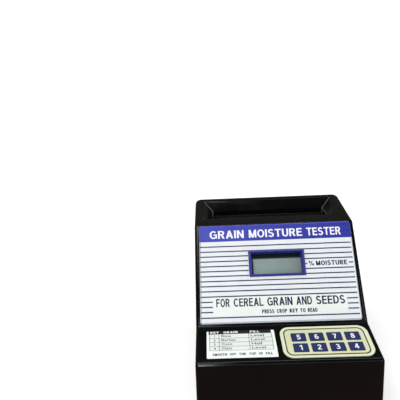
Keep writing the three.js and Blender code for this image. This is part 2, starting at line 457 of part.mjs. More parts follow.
// ---------------------------------------------------------------- wiring
{
  const B = BOARD, zt = B.z1 + 7.4, T = THROAT, C = CELL, bot = zLip - C.depth, zs = bot + 12;
  add("lead_cell_front", "blue", wire([[-40, T.y0 - 6.5, zs], [-40, T.y0 - 8, zs], [-40, 72, zs - 5], [-36, 57, 62], [-31, 38, 45], [-29, 28, zt]], 0.8));
  add("lead_cell_rear", "yellow", wire([[-40, T.y1 + 6.5, zs], [-40, T.y1 + 8, zs], [-42, 127, zs - 8], [-50, 124, 62], [-50, 98, 58], [-40, 60, 50], [-25, 36, 42], [-23, 28.5, zt]], 0.8, 24));
  add("lead_thermistor", "black", wire([[-T.x - 6.5, 102, bot + 30], [-T.x - 7.5, 102, bot + 30], [-73.5, 99, bot + 22], [-72, 88, 70], [-64, 62, 52], [-34, 40, 50], [-20, 34, 38], [-19.5, 29.5, zt]], 0.8, 24));
  const REARP = (a, b, c) => { const v = new THREE.Vector3(a, b, c).applyMatrix4(REAR); return [v.x, v.y, v.z]; };
  add("lead_battery_pos", "red", wire([[25, 108.5, 22], [30, 108.5, 22.5], [36, 107.5, 25], [43, 106.5, 29.5], [48, 109, 33], REARP(0, -6, -21.5)], 0.75, 20));
  add("lead_battery_neg", "black", wire([[25, 103.5, 20], [30, 103.5, 20.5], [37, 100, 22], [44, 80, 26], [46, 52, 34], [43, 36, 38], [41.5, 29, zt]], 0.75, 24));
  add("lead_switch", "red", wire([REARP(0, 6, -21.5), [50, 108, 45], [52, 90, 40], [50, 60, 42], [40, 38, 42], [37.5, 28.5, zt]], 0.75, 24));
  const onDisp = (v, n) => [v * cd - n * sd, Z_CREASE + v * sd + n * cd];
  const r1 = [onDisp(46, LCD.board0 - 0.3), onDisp(43, LCD.board0 - 2.5), onDisp(36, LCD.board0 - 7), [31, 72], [27, 50], [25, 40], [25, B.z1 + 6.4]];
  const curve = (p) => new THREE.CatmullRomCurve3(p.map(([y, z]) => new THREE.Vector3(0, y, z)), false, "centripetal").getPoints(18).map((v) => [v.y, v.z]);
  add("ribbon_display", "ribbon", strip(curve(r1), 0.7, -6, 8));
  const onStep = (w, n) => [-w * ck - n * sk, Z_CREASE - w * sk + n * ck];
  const kb = -WALL - 0.1 - 1.6 - 0.5;
  const r2 = [onStep(24, kb), onStep(20, kb - 1.4), [-16, 58], [-17, 50], [-25, 40], [-29, 35], [-29, B.z1 + 6.4]];
  add("ribbon_keypad", "ribbon", strip(curve(r2), 0.7, 28, 42));
}

const group = new THREE.Group();
group.name = "grain_moisture_meter";
// the frame's origin is the middle of the whole part's footprint
const extent = new THREE.Box3();
for (const m of parts) extent.union(new THREE.Box3().setFromBufferAttribute(m.geometry.attributes.position));
const shiftY = -(extent.min.y + extent.max.y) / 2;
for (const m of parts) {
  m.geometry.translate(0, shiftY, 0);
  group.add(m);
}
export default group;
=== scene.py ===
# Grain moisture meter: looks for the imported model.
import json
import math
import bpy
import bmesh
from mathutils import Matrix, Vector
from mathutils.geometry import delaunay_2d_cdt


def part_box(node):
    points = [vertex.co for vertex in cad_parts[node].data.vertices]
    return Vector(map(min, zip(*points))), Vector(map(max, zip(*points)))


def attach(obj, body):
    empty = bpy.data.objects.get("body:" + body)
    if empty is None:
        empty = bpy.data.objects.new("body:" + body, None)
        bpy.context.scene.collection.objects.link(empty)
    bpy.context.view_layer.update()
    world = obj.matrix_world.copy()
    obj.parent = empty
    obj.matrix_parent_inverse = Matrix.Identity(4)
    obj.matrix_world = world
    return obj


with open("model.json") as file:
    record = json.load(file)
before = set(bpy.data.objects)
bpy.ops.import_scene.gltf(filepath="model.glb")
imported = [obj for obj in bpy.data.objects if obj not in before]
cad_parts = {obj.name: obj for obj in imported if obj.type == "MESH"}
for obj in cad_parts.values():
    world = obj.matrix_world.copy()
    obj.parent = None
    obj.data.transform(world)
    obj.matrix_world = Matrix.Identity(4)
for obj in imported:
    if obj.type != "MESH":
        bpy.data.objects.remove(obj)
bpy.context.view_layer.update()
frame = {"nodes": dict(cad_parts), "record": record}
N = frame["nodes"]
scene = bpy.context.scene
MM = 0.001

# ------------------------------------------------------------------ panel frames
STEP_DEG, SLOPE_DEG = 6.13, 49.53
STEP_LEN, FACE_H, FACE_LEAN, BODY_Z = 47.2, 62.89, 0.14, 4.0
lo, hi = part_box("housing")
# the crease lies behind the foot of the front face by the step's depth and the face's lean
CREASE_Y = lo.y + (STEP_LEN * math.cos(math.radians(STEP_DEG)) + FACE_LEAN * FACE_H) * 0.001
CREASE_Z = (BODY_Z + FACE_H + STEP_LEN * math.sin(math.radians(STEP_DEG))) * 0.001


def panel(deg):
    c, s = math.cos(math.radians(deg)), math.sin(math.radians(deg))
    m = Matrix(((1, 0, 0, 0), (0, c, -s, CREASE_Y), (0, s, c, CREASE_Z), (0, 0, 0, 1)))
    return m @ Matrix.Scale(MM, 4)


SLOPE, STEP = panel(SLOPE_DEG), panel(STEP_DEG)
FLAT = Matrix.Scale(MM, 4)

# ------------------------------------------------------------------ materials
def srgb(r, g, b):
    f = lambda c: c / 12.92 if c <= 0.04045 else ((c + 0.055) / 1.055) ** 2.4
    return (f(r / 255), f(g / 255), f(b / 255), 1.0)


def new_mat(name):
    m = bpy.data.materials.new(name)
    m.use_nodes = True
    nt = m.node_tree
    bsdf = nt.nodes["Principled BSDF"]
    tc = nt.nodes.new("ShaderNodeTexCoord")
    return m, nt, bsdf, tc.outputs["Object"]


def noise(nt, coord, scale, detail=4.0, rough=0.55, stretch=None):
    if stretch:
        mp = nt.nodes.new("ShaderNodeMapping")
        mp.inputs["Scale"].default_value = stretch
        nt.links.new(coord, mp.inputs["Vector"])
        coord = mp.outputs["Vector"]
    n = nt.nodes.new("ShaderNodeTexNoise")
    n.inputs["Scale"].default_value = scale
    n.inputs["Detail"].default_value = detail
    n.inputs["Roughness"].default_value = rough
    nt.links.new(coord, n.inputs["Vector"])
    return n.outputs["Fac"]


def remap(nt, fac, a, b, lo_=0.0, hi_=1.0):
    n = nt.nodes.new("ShaderNodeMapRange")
    n.inputs["From Min"].default_value = a
    n.inputs["From Max"].default_value = b
    n.inputs["To Min"].default_value = lo_
    n.inputs["To Max"].default_value = hi_
    nt.links.new(fac, n.inputs["Value"])
    return n.outputs["Result"]


def mix(nt, fac, a, b):
    n = nt.nodes.new("ShaderNodeMix")
    n.data_type = "RGBA"
    for sock, v in ((n.inputs[6], a), (n.inputs[7], b)):
        if hasattr(v, "is_linked") or hasattr(v, "links"):
            nt.links.new(v, sock)
        else:
            sock.default_value = v
    if hasattr(fac, "links"):
        nt.links.new(fac, n.inputs[0])
    else:
        n.inputs[0].default_value = fac
    return n.outputs[2]


def bump(nt, height, strength, distance):
    n = nt.nodes.new("ShaderNodeBump")
    n.inputs["Strength"].default_value = strength
    n.inputs["Distance"].default_value = distance
    nt.links.new(height, n.inputs["Height"])
    return n.outputs["Normal"]


def plastic(name, base, rough=(0.3, 0.4), vary=0.12, grain=900.0, bumpy=0.15, spec=0.5, metal=0.0, coat=0.0,
            mottle=60.0, tint=None):
    """Moulded or printed surface: mottled colour, uneven gloss and a fine grain."""
    m, nt, b, co = new_mat(name)
    dark = tuple(c * (1 - vary) for c in base[:3]) + (1.0,)
    light = tuple(min(1.0, c * (1 + vary) + 0.0006) for c in base[:3]) + (1.0,)
    if tint:
        light = tint
    f = remap(nt, noise(nt, co, mottle), 0.3, 0.7)
    nt.links.new(mix(nt, f, dark, light), b.inputs["Base Color"])
    r = remap(nt, noise(nt, co, mottle * 2.3, 6.0), 0.35, 0.65, rough[0], rough[1])
    nt.links.new(r, b.inputs["Roughness"])
    nt.links.new(bump(nt, noise(nt, co, grain, 3.0), bumpy, 0.00006), b.inputs["Normal"])
    b.inputs["Specular IOR Level"].default_value = spec
    b.inputs["Metallic"].default_value = metal
    if coat:
        b.inputs["Coat Weight"].default_value = coat
        b.inputs["Coat Roughness"].default_value = 0.12
    return m


def housing_material():
    """Glossy black moulding: slow waviness, wiped smears in the gloss, hairline scuffs and a little dust."""
    m, nt, b, co = new_mat("gloss_black_housing")
    f = remap(nt, noise(nt, co, 22.0, 3.0), 0.3, 0.7)
    base = mix(nt, f, srgb(7, 8, 8), srgb(11, 12, 12))
    # dust, only where the surface looks up
    g = nt.nodes.new("ShaderNodeNewGeometry")
    sx = nt.nodes.new("ShaderNodeSeparateXYZ")
    nt.links.new(g.outputs["Normal"], sx.inputs[0])
    up = remap(nt, sx.outputs["Z"], 0.6, 1.0)
    specks = remap(nt, noise(nt, co, 1500.0, 2.0), 0.68, 0.78)
    mul = nt.nodes.new("ShaderNodeMath")
    mul.operation = "MULTIPLY"
    nt.links.new(up, mul.inputs[0])
    nt.links.new(specks, mul.inputs[1])
    nt.links.new(mix(nt, mul.outputs[0], base, srgb(34, 35, 34)), b.inputs["Base Color"])
    smear = noise(nt, co, 30.0, 5.0, 0.6, (1.0, 2.6, 1.0))
    r = remap(nt, smear, 0.35, 0.7, 0.09, 0.21)
    nt.links.new(r, b.inputs["Roughness"])
    wave = noise(nt, co, 55.0, 2.0)
    scuff = noise(nt, co, 420.0, 2.0, 0.5, (1.0, 0.08, 0.6))
    add = nt.nodes.new("ShaderNodeMath")
    add.operation = "MULTIPLY_ADD"
    nt.links.new(remap(nt, scuff, 0.66, 0.8), add.inputs[0])
    add.inputs[1].default_value = -0.12
    nt.links.new(wave, add.inputs[2])
    nt.links.new(bump(nt, add.outputs[0], 0.25, 0.00025), b.inputs["Normal"])
    b.inputs["Specular IOR Level"].default_value = 0.42
    return m


def brushed(name, base, axis=(1.0, 30.0, 30.0), rough=(0.22, 0.4)):
    m, nt, b, co = new_mat(name)
    s = noise(nt, co, 160.0, 4.0, 0.6, axis)
    dark = tuple(c * 0.78 for c in base[:3]) + (1.0,)
    nt.links.new(mix(nt, remap(nt, s, 0.3, 0.7), dark, base), b.inputs["Base Color"])
    nt.links.new(remap(nt, s, 0.3, 0.7, *rough), b.inputs["Roughness"])
    nt.links.new(bump(nt, s, 0.2, 0.00004), b.inputs["Normal"])
    b.inputs["Metallic"].default_value = 1.0
    return m


def film_material():
    """Grey-green display film: a little lighter at the left as a painted reflection, faint polariser banding, fine
    grain.
    """
    m, nt, b, co = new_mat("display_film")
    sx = nt.nodes.new("ShaderNodeSeparateXYZ")
    nt.links.new(co, sx.inputs[0])
    f = remap(nt, sx.outputs["X"], -0.026, 0.027)
    cloud = noise(nt, co, 70.0, 3.0)
    # lighter at the left, darker towards the right: painted reflection of the light above
    base = mix(nt, f, srgb(146, 164, 159), srgb(122, 137, 132))
    shade = mix(nt, remap(nt, cloud, 0.3, 0.7, 0.0, 0.25), base, srgb(156, 174, 166))
    top = frame["nodes"]["lcd_film"].bound_box[6][2]   # upper edge: shadowed by the frame's lip
    nt.links.new(mix(nt, remap(nt, sx.outputs["Z"], top - 0.0016, top - 0.0009), shade, srgb(30, 40, 48)), b.inputs["Base Color"])
    nt.links.new(remap(nt, noise(nt, co, 200.0), 0.3, 0.7, 0.16, 0.28), b.inputs["Roughness"])
    nt.links.new(bump(nt, noise(nt, co, 2400.0, 1.0), 0.06, 0.00002), b.inputs["Normal"])
    return m


def board_material():
    """Green board: solder mask with darker copper tracks under it."""
    m, nt, b, co = new_mat("circuit_board")
    v = nt.nodes.new("ShaderNodeTexVoronoi")
    v.distance = "MANHATTAN"
    v.feature = "DISTANCE_TO_EDGE"
    v.inputs["Scale"].default_value = 130.0
    nt.links.new(co, v.inputs["Vector"])
    t = remap(nt, v.outputs["Distance"], 0.03, 0.07)
    nt.links.new(mix(nt, t, srgb(40, 118, 70), srgb(18, 74, 42)), b.inputs["Base Color"])
    nt.links.new(remap(nt, noise(nt, co, 90.0), 0.3, 0.7, 0.3, 0.5), b.inputs["Roughness"])
    nt.links.new(bump(nt, t, 0.25, 0.00005), b.inputs["Normal"])
    return m


def rubber_material():
    m, nt, b, co = new_mat("foot_rubber")
    nt.links.new(mix(nt, remap(nt, noise(nt, co, 140.0, 6.0), 0.35, 0.65), srgb(22, 22, 22), srgb(38, 38, 37)), b.inputs["Base Color"])
    nt.links.new(remap(nt, noise(nt, co, 500.0), 0.3, 0.7, 0.72, 0.95), b.inputs["Roughness"])
    nt.links.new(bump(nt, noise(nt, co, 1600.0, 4.0), 0.4, 0.0001), b.inputs["Normal"])
    return m


def texture_black(name):
    """Matt base moulding with a spark-eroded texture."""
    m, nt, b, co = new_mat(name)
    v = nt.nodes.new("ShaderNodeTexVoronoi")
    v.inputs["Scale"].default_value = 1100.0
    nt.links.new(co, v.inputs["Vector"])
    nt.links.new(mix(nt, remap(nt, noise(nt, co, 40.0, 5.0), 0.3, 0.7), srgb(20, 21, 22), srgb(30, 31, 32)), b.inputs["Base Color"])
    nt.links.new(remap(nt, noise(nt, co, 120.0), 0.3, 0.7, 0.5, 0.66), b.inputs["Roughness"])
    nt.links.new(bump(nt, v.outputs["Distance"], 0.35, 0.0001), b.inputs["Normal"])
    return m


def band_material():
    """Printed blue band: deeper at the left, lighter at the right, with faint roller streaks along it."""
    m, nt, b, co = new_mat("ink_blue")
    sx = nt.nodes.new("ShaderNodeSeparateXYZ")
    nt.links.new(co, sx.inputs[0])
    f = remap(nt, sx.outputs["X"], -0.078, 0.079)
    streak = noise(nt, co, 60.0, 4.0, 0.6, (0.3, 6.0, 6.0))
    base = mix(nt, f, srgb(60, 69, 182), srgb(39, 47, 148))
    nt.links.new(mix(nt, remap(nt, streak, 0.3, 0.7, 0.0, 0.16), base, srgb(80, 88, 196)), b.inputs["Base Color"])
    nt.links.new(remap(nt, noise(nt, co, 150.0), 0.3, 0.7, 0.26, 0.36), b.inputs["Roughness"])
    nt.links.new(bump(nt, noise(nt, co, 2600.0, 2.0), 0.05, 0.00004), b.inputs["Normal"])
    b.inputs["Specular IOR Level"].default_value = 0.45
    return m


MAT = {
    "housing": housing_material(),
    "base": texture_black("base_moulding"),
    "rubber": rubber_material(),
    "screw": brushed("zinc_screw", srgb(188, 190, 192), (30.0, 30.0, 1.0)),
    "cell": plastic("cell_moulding", srgb(20, 22, 24), (0.32, 0.48), 0.2, 700.0, 0.2),
    "electrode": brushed("electrode_steel", srgb(196, 199, 202), (1.0, 30.0, 30.0), (0.2, 0.36)),
    "overlay": plastic("film_white", srgb(231, 236, 241), (0.26, 0.36), 0.03, 2600.0, 0.05, 0.45),
    "film_patch": plastic("film_patch", srgb(236, 241, 237), (0.26, 0.36), 0.03, 2600.0, 0.05, 0.45),
    # greyer film colour: painted shade along the display film's edges
    "film_edge_painted_shade": plastic("film_edge_painted_shade", srgb(178, 184, 196), (0.26, 0.36), 0.05, 2600.0, 0.05, 0.45),
    "ink_blue": band_material(),
    # lighter blue: painted highlight along the title band's top edge
    "blue_painted_highlight": plastic("blue_painted_highlight", srgb(76, 82, 204), (0.24, 0.34), 0.07, 2600.0, 0.05, 0.45),
    "ink_line": plastic("ink_line", srgb(44, 46, 72), (0.3, 0.4), 0.10, 2600.0, 0.05, 0.3),
    "ink_text": plastic("ink_text", srgb(30, 32, 72), (0.3, 0.4), 0.10, 2600.0, 0.05, 0.3),
    "ink_white": plastic("ink_white", srgb(244, 245, 252), (0.28, 0.38), 0.02, 2600.0, 0.05, 0.4),
    "bezel": plastic("bezel_blue", srgb(46, 52, 138), (0.26, 0.38), 0.12, 1200.0, 0.12, 0.45),
    "lcd": film_material(),
    "lcd_glass": plastic("display_glass", srgb(24, 34, 38), (0.05, 0.1), 0.15, 3000.0, 0.02, 0.5),
    "board": board_material(),
    "keypad": plastic("keypad_cream", srgb(219, 220, 180), (0.34, 0.46), 0.03, 1900.0, 0.12, 0.4),
    "keypad_rim": plastic("keypad_border", srgb(223, 230, 198), (0.34, 0.46), 0.02, 1900.0, 0.12, 0.4),
    "ink_grey": plastic("ink_grey", srgb(38, 38, 36), (0.35, 0.45), 0.08, 1900.0, 0.05, 0.3),
    "key": plastic("key_navy", srgb(31, 46, 98), (0.34, 0.46), 0.10, 1900.0, 0.12, 0.4),
    "label": plastic("label_paper", srgb(240, 246, 241), (0.55, 0.7), 0.03, 1500.0, 0.25, 0.3),
    "ink_black": plastic("ink_black", srgb(24, 25, 26), (0.5, 0.62), 0.15, 1500.0, 0.1, 0.3),
    "ink_soft": plastic("ink_soft", srgb(38, 41, 43), (0.5, 0.62), 0.10, 1500.0, 0.1, 0.3),
    "field": plastic("label_field", srgb(227, 234, 228), (0.55, 0.7), 0.03, 1500.0, 0.2, 0.3),
    "component": plastic("chip_epoxy", srgb(26, 27, 29), (0.45, 0.6), 0.15, 1400.0, 0.3),
    "socket": plastic("nylon", srgb(228, 222, 204), (0.35, 0.5), 0.04, 900.0, 0.15),
    "battery": plastic("battery_case", srgb(44, 62, 92), (0.25, 0.36), 0.12, 900.0, 0.1, 0.5, 0.4),
    "switch": plastic("switch_black", srgb(20, 20, 21), (0.28, 0.42), 0.2, 1300.0, 0.2),
    "wire_red": plastic("wire_red", srgb(170, 30, 26), (0.4, 0.5), 0.1, 900.0, 0.1),
    "wire_black": plastic("wire_black", srgb(22, 22, 23), (0.4, 0.5), 0.15, 900.0, 0.1),
    "wire_blue": plastic("wire_blue", srgb(38, 70, 150), (0.4, 0.5), 0.1, 900.0, 0.1),
    "wire_yellow": plastic("wire_yellow", srgb(206, 168, 44), (0.4, 0.5), 0.08, 900.0, 0.1),
    "ribbon": plastic("flat_cable", srgb(170, 172, 178), (0.4, 0.55), 0.06, 900.0, 0.1),
}

# ------------------------------------------------------------------ smooth shading with crisp corners
def shade_group():
    g = bpy.data.node_groups.new("smooth_by_angle", "GeometryNodeTree")
    g.interface.new_socket("Geometry", in_out="INPUT", socket_type="NodeSocketGeometry")
    g.interface.new_socket("Geometry", in_out="OUTPUT", socket_type="NodeSocketGeometry")
    i, o = g.nodes.new("NodeGroupInput"), g.nodes.new("NodeGroupOutput")
    a = g.nodes.new("GeometryNodeSetShadeSmooth")
    a.domain = "FACE"
    e = g.nodes.new("GeometryNodeSetShadeSmooth")
    e.domain = "EDGE"
    e.inputs["Shade Smooth"].default_value = False
    ang = g.nodes.new("GeometryNodeInputMeshEdgeAngle")
    cmp_ = g.nodes.new("FunctionNodeCompare")
    cmp_.data_type = "FLOAT"
    cmp_.operation = "GREATER_THAN"
    cmp_.inputs[1].default_value = math.radians(27)
    g.links.new(ang.outputs["Unsigned Angle"], cmp_.inputs[0])
    g.links.new(i.outputs[0], a.inputs["Geometry"])
    g.links.new(a.outputs["Geometry"], e.inputs["Geometry"])
    g.links.new(cmp_.outputs[0], e.inputs["Selection"])
    g.links.new(e.outputs["Geometry"], o.inputs[0])
    return g


SMOOTH = shade_group()


def finish_surface(obj, bevel=0.0, segments=2):
    w = obj.modifiers.new("weld", "WELD")
    w.merge_threshold = 2e-6
    if bevel:
        b = obj.modifiers.new("edge", "BEVEL")
        b.width = bevel
        b.segments = segments
        b.limit_method = "ANGLE"
        b.angle_limit = math.radians(40)
        b.use_clamp_overlap = False
    s = obj.modifiers.new("shade", "NODES")
    s.node_group = SMOOTH


slots = {m["slot"]: m["slot"] for m in frame["record"]["materials"]}
for part in frame["record"]["subparts"]:
    obj = N[part["node"]]
    mat = MAT[part["material_slot"]]
    obj.data.materials.clear()
    obj.data.materials.append(mat)
for name, obj in N.items():
    finish_surface(obj, bevel=0.0004 if name == "housing" else 0.0)
# the bevelled edges of the housing, the sharp rims of the hopper among them, get a paler grey than the faces beside
# them: painted highlight lines along the rims
N["housing"].data.materials.append(plastic("rim_painted_highlight", srgb(120, 126, 122), (0.22, 0.36), 0.35, 1500.0, 0.1, 0.5, mottle=90.0))
N["housing"].modifiers["edge"].material = 1

# ------------------------------------------------------------------ printed pieces
def mesh_piece(name, mesh, matrix, material, body):
    bm = bmesh.new()
    bm.from_mesh(mesh)
    bm.transform(matrix)
    bmesh.ops.remove_doubles(bm, verts=bm.verts, dist=2e-7)
    bmesh.ops.recalc_face_normals(bm, faces=bm.faces)
    out = bpy.data.meshes.new(name)
    bm.to_mesh(out)
    bm.free()
    obj = bpy.data.objects.new(name, out)
    scene.collection.objects.link(obj)
    out.materials.clear()
    out.materials.append(material)
    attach(obj, body)
    return obj


def evaluated(curve):
    tmp = bpy.data.objects.new("tmp", curve)
    scene.collection.objects.link(tmp)
    dg = bpy.context.evaluated_depsgraph_get()
    mesh = bpy.data.meshes.new_from_object(tmp.evaluated_get(dg))
    bpy.data.objects.remove(tmp)
    return mesh


def inked(name, loops, n0, t, matrix, material, body="case"):
    """Flat print: closed loops of (u, v) in mm; inner loops are holes."""
    c = bpy.data.curves.new(name, "CURVE")
    c.dimensions = "2D"
    c.fill_mode = "BOTH"
    c.extrude = t / 2
    for pts in loops:
        s = c.splines.new("POLY")
        s.points.add(len(pts) - 1)
        for i, (u, v) in enumerate(pts):
            s.points[i].co = (u, v, 0, 1)
        s.use_cyclic_u = True
    return mesh_piece(name, evaluated(c), matrix @ Matrix.Translation((0, 0, n0 + t / 2)), material, body)


def rect(u0, u1, v0, v1):
    return [(u0, v0), (u1, v0), (u1, v1), (u0, v1)]


def rrect(u0, u1, v0, v1, r, seg=8, corners=(1, 1, 1, 1)):
    out = []
    for (cx, cy, a0), on in zip(((u1 - r, v1 - r, 0), (u0 + r, v1 - r, 90), (u0 + r, v0 + r, 180), (u1 - r, v0 + r, 270)), corners):
        if not on:
            out.append((cx + r * (1 if a0 in (0, 270) else -1), cy + r * (1 if a0 in (0, 90) else -1)))
            continue
        for i in range(seg + 1):
            a = math.radians(a0 + 90 * i / seg)
            out.append((cx + r * math.cos(a), cy + r * math.sin(a)))
    return out


def lettering(name, text, u0, u1, v0, v1, n0, t, matrix, material, body="case", bold=0.0, fit=True, space=1.0):
    """Small plain text that fills the rectangle u0..u1, v0..v1 (mm)."""
    c = bpy.data.curves.new(name, "FONT")
    c.body = text
    c.size = 1.0
    c.offset = bold
    c.space_character = space
    c.resolution_u = 2
    c.extrude = 0.5
    mesh = evaluated(c)
    xs = [v.co.x for v in mesh.vertices]
    ys = [v.co.y for v in mesh.vertices]
    sx = (u1 - u0) / (max(xs) - min(xs))
    sy = (v1 - v0) / (max(ys) - min(ys))
    if not fit:                   # keep the letter shapes, centred in the rectangle
        s = min(sx, sy)
        sx = sy = s
    cu, cv = (u0 + u1) / 2, (v0 + v1) / 2
    place = (Matrix.Translation((cu, cv, n0 + t / 2)) @ Matrix.Diagonal((sx, sy, t, 1))
             @ Matrix.Translation((-(max(xs) + min(xs)) / 2, -(max(ys) + min(ys)) / 2, 0)))
    return mesh_piece(name, mesh, matrix @ place, material, body)


# Plain sans capitals and digits, drawn as bars and bows one unit high.
def bar(x0, x1, y0, y1):
    return [(x0, y0), (x1, y0), (x1, y1), (x0, y1)]


def slash(xa, ya, xb, yb, wx):
    h = wx / 2
    return [(xa - h, ya), (xa + h, ya), (xb + h, yb), (xb - h, yb)]


def bow(cx, cy, rx, ry, w, h, a0, a1):
    """Part of an oval ring, cut in pieces of at most half a turn."""
    out = []
    k = max(1, math.ceil((a1 - a0) / 170))
    for j in range(k):
        b0, b1 = a0 + (a1 - a0) * j / k, a0 + (a1 - a0) * (j + 1) / k
        m = max(3, math.ceil((b1 - b0) / 15))
        ang = [math.radians(b0 + (b1 - b0) * i / m) for i in range(m + 1)]
        out.append([(cx + rx * math.cos(a), cy + ry * math.sin(a)) for a in ang]
                   + [(cx + (rx - w) * math.cos(a), cy + (ry - h) * math.sin(a)) for a in reversed(ang)])
    return out


def glyph(ch, w, h):
    """Shapes and width of one character; w is the stem, h the weight of level strokes."""
    if ch == " ":
        return [], 0.30
    if ch == "I":
        return [bar(0, w, 0, 1)], w
    if ch == "T":
        return [bar(0, 0.74, 1 - h, 1), bar(0.37 - w / 2, 0.37 + w / 2, 0, 1)], 0.74
    if ch in "EFL":
        out = [bar(0, w, 0, 1)]
        if ch in "EF":
            out += [bar(0, 0.64, 1 - h, 1), bar(0, 0.60, 0.52 - h / 2, 0.52 + h / 2)]
        if ch in "EL":
            out.append(bar(0, 0.66, 0, h))
        return out, 0.66 if ch != "L" else 0.62
    if ch == "H":
        return [bar(0, w, 0, 1), bar(0.74 - w, 0.74, 0, 1), bar(0, 0.74, 0.5 - h / 2, 0.5 + h / 2)], 0.74
    if ch == "N":
        return [bar(0, w, 0, 1), bar(0.76 - w, 0.76, 0, 1), slash(w * 0.55, 1, 0.76 - w * 0.55, 0, w * 1.1)], 0.76
    if ch == "M":
        return [bar(0, w, 0, 1), bar(0.90 - w, 0.90, 0, 1), slash(w * 0.55, 1, 0.45, 0, w * 1.08), slash(0.90 - w * 0.55, 1, 0.45, 0, w * 1.08)], 0.90
    if ch in "AV":
        top, foot = (1, 0) if ch == "A" else (0, 1)
        out = [slash(0.41, top, w * 0.55, foot, w * 1.1), slash(0.41, top, 0.82 - w * 0.55, foot, w * 1.1)]
        if ch == "A":
            out.append(bar(0.2, 0.62, 0.22, 0.22 + h))
        return out, 0.82
    if ch == "K":
        return [bar(0, w, 0, 1), slash(w * 0.9, 0.36, 0.72 - w * 0.6, 1, w * 1.25), slash(0.26 + w * 0.3, 0.56, 0.78 - w * 0.6, 0, w * 1.25)], 0.78
    if ch == "Y":
        return [slash(w * 0.6, 1, 0.38, 0.38, w * 1.15), slash(0.76 - w * 0.6, 1, 0.38, 0.38, w * 1.15), bar(0.38 - w / 2, 0.38 + w / 2, 0, 0.42)], 0.76
    if ch == "O":
        return bow(0.42, 0.5, 0.42, 0.515, w, h, 0, 360), 0.84
    if ch == "C":
        return bow(0.42, 0.5, 0.42, 0.515, w, h, 42, 318), 0.78
    if ch == "G":
        return bow(0.42, 0.5, 0.42, 0.515, w, h, 42, 320) + [bar(0.44, 0.82, 0.40, 0.40 + h), bar(0.82 - w * 0.8, 0.82, 0.05, 0.45)], 0.83
    if ch == "D":
        return [bar(0, w, 0, 1), bar(0, 0.36, 0, h), bar(0, 0.36, 1 - h, 1)] + bow(0.35, 0.5, 0.42, 0.5, w, h, -90, 90), 0.77
    if ch in "PRB":
        out = [bar(0, w, 0, 1), bar(0, 0.44, 1 - h, 1), bar(0, 0.44, 0.43, 0.43 + h)] + bow(0.42, 0.715, 0.28, 0.285, w, h, -90, 90)
        if ch == "R":
            out.append(slash(0.40, 0.48, 0.74 - w * 0.6, 0, w * 1.15))
            return out, 0.75
        if ch == "B":
            out += [bar(0, 0.44, 0, h)] + bow(0.43, 0.285, 0.29, 0.285, w, h, -90, 90)
            return out, 0.72
        return out, 0.70
    if ch == "U":
        return [bar(0, w, 0.36, 1), bar(0.74 - w, 0.74, 0.36, 1)] + bow(0.37, 0.37, 0.37, 0.385, w, h, 180, 360), 0.74
    if ch == "S":
        lo_, hi_ = 0.5 - h / 2, 0.5 + h / 2
        up, dn = (1.015 + lo_) / 2, (hi_ - 0.015) / 2
        return bow(0.355, up, 0.325, 1.015 - up, w, h, 22, 270) + bow(0.36, dn, 0.35, dn + 0.015, w, h, -158, 90), 0.72
    if ch == "W":
        return [slash(w * 0.55, 1, 0.28, 0, w), slash(0.54, 1, 0.28, 0, w), slash(0.54, 1, 0.80, 0, w), slash(1.08 - w * 0.55, 1, 0.80, 0, w)], 1.08
    if ch == "1":
        return [bar(0.30, 0.30 + w, 0, 1), [(0.06, 0.68), (0.30, 0.78), (0.34, 1.0), (0.28, 0.98), (0.06, 0.84)]], 0.30 + w
    if ch == "2":
        return bow(0.31, 0.70, 0.31, 0.31, w, h, -8, 168) + [bar(0, 0.62, 0, h), slash(w * 0.62, h * 0.7, 0.60 - w * 0.62, 0.64, w * 1.2)], 0.62
    if ch == "3":
        return bow(0.30, 0.735, 0.28, 0.275, w, h, -90, 162) + bow(0.30, 0.28, 0.32, 0.29, w, h, -162, 90) + [bar(0.20, 0.34, 0.46, 0.46 + h)], 0.62
    if ch == "4":
        return [bar(0.38, 0.38 + w, 0, 1), bar(0, 0.66, 0.22, 0.22 + h), slash(w * 0.5, 0.30, 0.42 + w * 0.1, 1, w * 0.95)], 0.66
    if ch == "5":
        return [bar(0.08, 0.58, 1 - h, 1), bar(0.06, 0.06 + w * 0.9, 0.46, 1)] + bow(0.29, 0.325, 0.33, 0.335, w, h, -155, 128), 0.62
    if ch == "6":
        return bow(0.32, 0.325, 0.32, 0.335, w, h, 0, 360) + bow(0.36, 0.56, 0.36, 0.455, w, h, 62, 190), 0.64
    if ch == "7":
        return [bar(0, 0.60, 1 - h, 1), slash(0.15 + w * 0.5, 0, 0.60 - w * 0.55, 1 - h * 0.5, w * 1.1)], 0.60
    if ch == "8":
        return bow(0.32, 0.745, 0.28, 0.265, w, h, 0, 360) + bow(0.32, 0.275, 0.32, 0.285, w, h, 0, 360), 0.64
    if ch == "%":
        return (bow(0.19, 0.77, 0.19, 0.24, w * 0.8, h * 0.8, 0, 360) + bow(0.83, 0.23, 0.19, 0.24, w * 0.8, h * 0.8, 0, 360)
                + [slash(0.30, 0, 0.72, 1, w * 0.8)]), 1.02
    if ch == "-":
        return [bar(0.02, 0.38, 0.36, 0.36 + h)], 0.40
    raise ValueError(ch)


